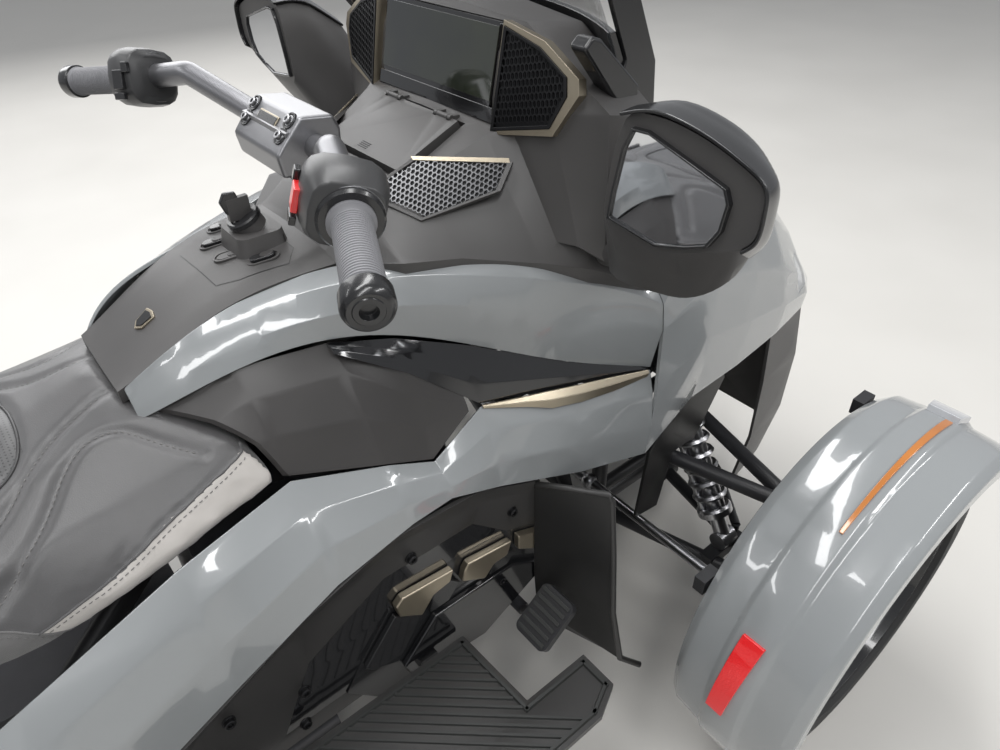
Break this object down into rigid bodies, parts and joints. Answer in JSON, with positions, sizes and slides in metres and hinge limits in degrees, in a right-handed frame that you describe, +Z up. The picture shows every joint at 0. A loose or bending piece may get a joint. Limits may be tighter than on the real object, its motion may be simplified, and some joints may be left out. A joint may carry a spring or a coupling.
{
  "type": "three-wheeled touring motor trike",
  "caption": "Touring motor trike with paired front wheels, one driven rear wheel, faired nose, windshield, rider and passenger seats, hinged luggage lids and coupled handlebar steering.",
  "frame": {"origin": "on the ground at the middle of the whole vehicle's length and width", "axes": "+X forward along the length, +Y to the rider's left, +Z up"},
  "size_m": [2.833, 1.554, 1.464],
  "materials": {
    "paint": "gloss blue-gray paint",
    "charcoal": "fine-grained charcoal plastic",
    "gloss_black": "polished black",
    "champagne": "satin champagne",
    "frame_black": "satin black",
    "engine_metal": "cast",
    "steel": "bare",
    "rim_black": "gloss black with bright edges",
    "tyre": "matt",
    "belt": "matt",
    "grip": "ribbed",
    "bar_silver": "satin",
    "vinyl": "grained vinyl",
    "glass": "tinted clear",
    "lens": "clear",
    "red_lens": "red",
    "mirror": "polished",
    "screen": "dark display",
    "exhaust_steel": "satin"
  },
  "bodies": {
    "chassis": {"frame": "frame_black", "engine": "engine_metal", "swing_arm": "frame_black", "drive_belt": "belt", "suspension_arms": "frame_black", "shocks": "steel", "console": "charcoal", "dash": "charcoal", "display": "screen", "speaker_grilles": "champagne", "tank_cover": "paint", "knee_panels": "charcoal", "gloss_covers": "gloss_black", "side_panels": "paint", "lower_panels": "charcoal", "nose_shell": "paint", "chin": "charcoal", "headlights": "lens", "trunk_tub": "charcoal", "windshield": "glass", "windshield_frame": "charcoal", "mirror_pods": "gloss_black", "mirror_glass": "mirror", "trim_strips": "champagne", "footboards": "charcoal", "brake_pedal": "frame_black", "splash_guards": "charcoal", "passenger_seat": "vinyl", "rear_body": "paint", "luggage_bases": "charcoal", "tail_lights": "red_lens", "exhaust": "exhaust_steel"},
    "handlebar": {"handlebar": "bar_silver", "grips": "grip"},
    "tie_rods": {"tie_rods": "steel"},
    "knuckle_left": {"knuckle_left": "frame_black", "fender_left": "paint"},
    "knuckle_right": {"knuckle_right": "frame_black", "fender_right": "paint"},
    "front_wheel_left": {"front_rim_left": "rim_black", "front_tyre_left": "tyre"},
    "front_wheel_right": {"front_rim_right": "rim_black", "front_tyre_right": "tyre"},
    "rear_wheel": {"rear_rim": "rim_black", "rear_tyre": "tyre"},
    "rider_seat": {"seat": "vinyl"},
    "glovebox_lid": {"glovebox_lid": "charcoal"},
    "trunk_lid": {"trunk_lid": "paint"},
    "top_case_lid": {"top_case_lid": "paint"},
    "side_case_lid_left": {"side_case_lid_left": "paint"},
    "side_case_lid_right": {"side_case_lid_right": "paint"}
  },
  "joints": [
    {"name": "handlebar_steer", "type": "hinge", "parent": "chassis", "child": "handlebar", "pos_m": [0.58, 0, 0.729], "axis": [-0.5425, 0, 0.84], "range_deg": [-36, 36]},
    {"name": "kingpin_left", "type": "hinge", "parent": "chassis", "child": "knuckle_left", "pos_m": [0.952, 0.59, 0.172], "axis": [-0.0764, -0.1273, 0.9889], "range_deg": [-25.2, 25.2]},
    {"name": "kingpin_right", "type": "hinge", "parent": "chassis", "child": "knuckle_right", "pos_m": [0.952, -0.59, 0.172], "axis": [-0.0764, 0.1273, 0.9889], "range_deg": [-25.2, 25.2]},
    {"name": "tie_rod_slide", "type": "slide", "parent": "chassis", "child": "tie_rods", "axis": [0, 1, 0], "range_m": [-0.0622, 0.0622]},
    {"name": "front_left_spin", "type": "hinge", "parent": "knuckle_left", "child": "front_wheel_left", "pos_m": [0.946, 0.66, 0.281], "axis": [0, 1, 0], "continuous": true},
    {"name": "front_right_spin", "type": "hinge", "parent": "knuckle_right", "child": "front_wheel_right", "pos_m": [0.946, -0.66, 0.281], "axis": [0, 1, 0], "continuous": true},
    {"name": "rear_spin", "type": "hinge", "parent": "chassis", "child": "rear_wheel", "pos_m": [-0.763, 0, 0.303], "axis": [0, 1, 0], "continuous": true},
    {"name": "seat_hinge", "type": "hinge", "parent": "chassis", "child": "rider_seat", "pos_m": [0, 0.262, 0.705], "axis": [-1, 0, 0], "range_deg": [0, 60]},
    {"name": "glovebox_hinge", "type": "hinge", "parent": "chassis", "child": "glovebox_lid", "pos_m": [0.59575, 0, 1.02956], "axis": [0, 1, 0], "range_deg": [0, 50]},
    {"name": "trunk_hinge", "type": "hinge", "parent": "chassis", "child": "trunk_lid", "pos_m": [1.284, 0, 0.762], "axis": [0, 1, 0], "range_deg": [0, 55]},
    {"name": "top_case_hinge", "type": "hinge", "parent": "chassis", "child": "top_case_lid", "pos_m": [-0.884, 0, 1.008], "axis": [0, 1, 0], "range_deg": [0, 45]},
    {"name": "side_case_hinge_left", "type": "hinge", "parent": "chassis", "child": "side_case_lid_left", "pos_m": [-0.94, 0.352, 0.436], "axis": [-1, 0, 0], "range_deg": [0, 60]},
    {"name": "side_case_hinge_right", "type": "hinge", "parent": "chassis", "child": "side_case_lid_right", "pos_m": [-0.94, -0.352, 0.436], "axis": [1, 0, 0], "range_deg": [0, 60]}
  ],
  "couplings": [
    {"joint": "kingpin_left", "follows": "handlebar_steer", "ratio": 0.7},
    {"joint": "kingpin_right", "follows": "handlebar_steer", "ratio": 0.7},
    {"joint": "tie_rod_slide", "follows": "handlebar_steer", "m_per_rad": -0.0987}
  ]
}
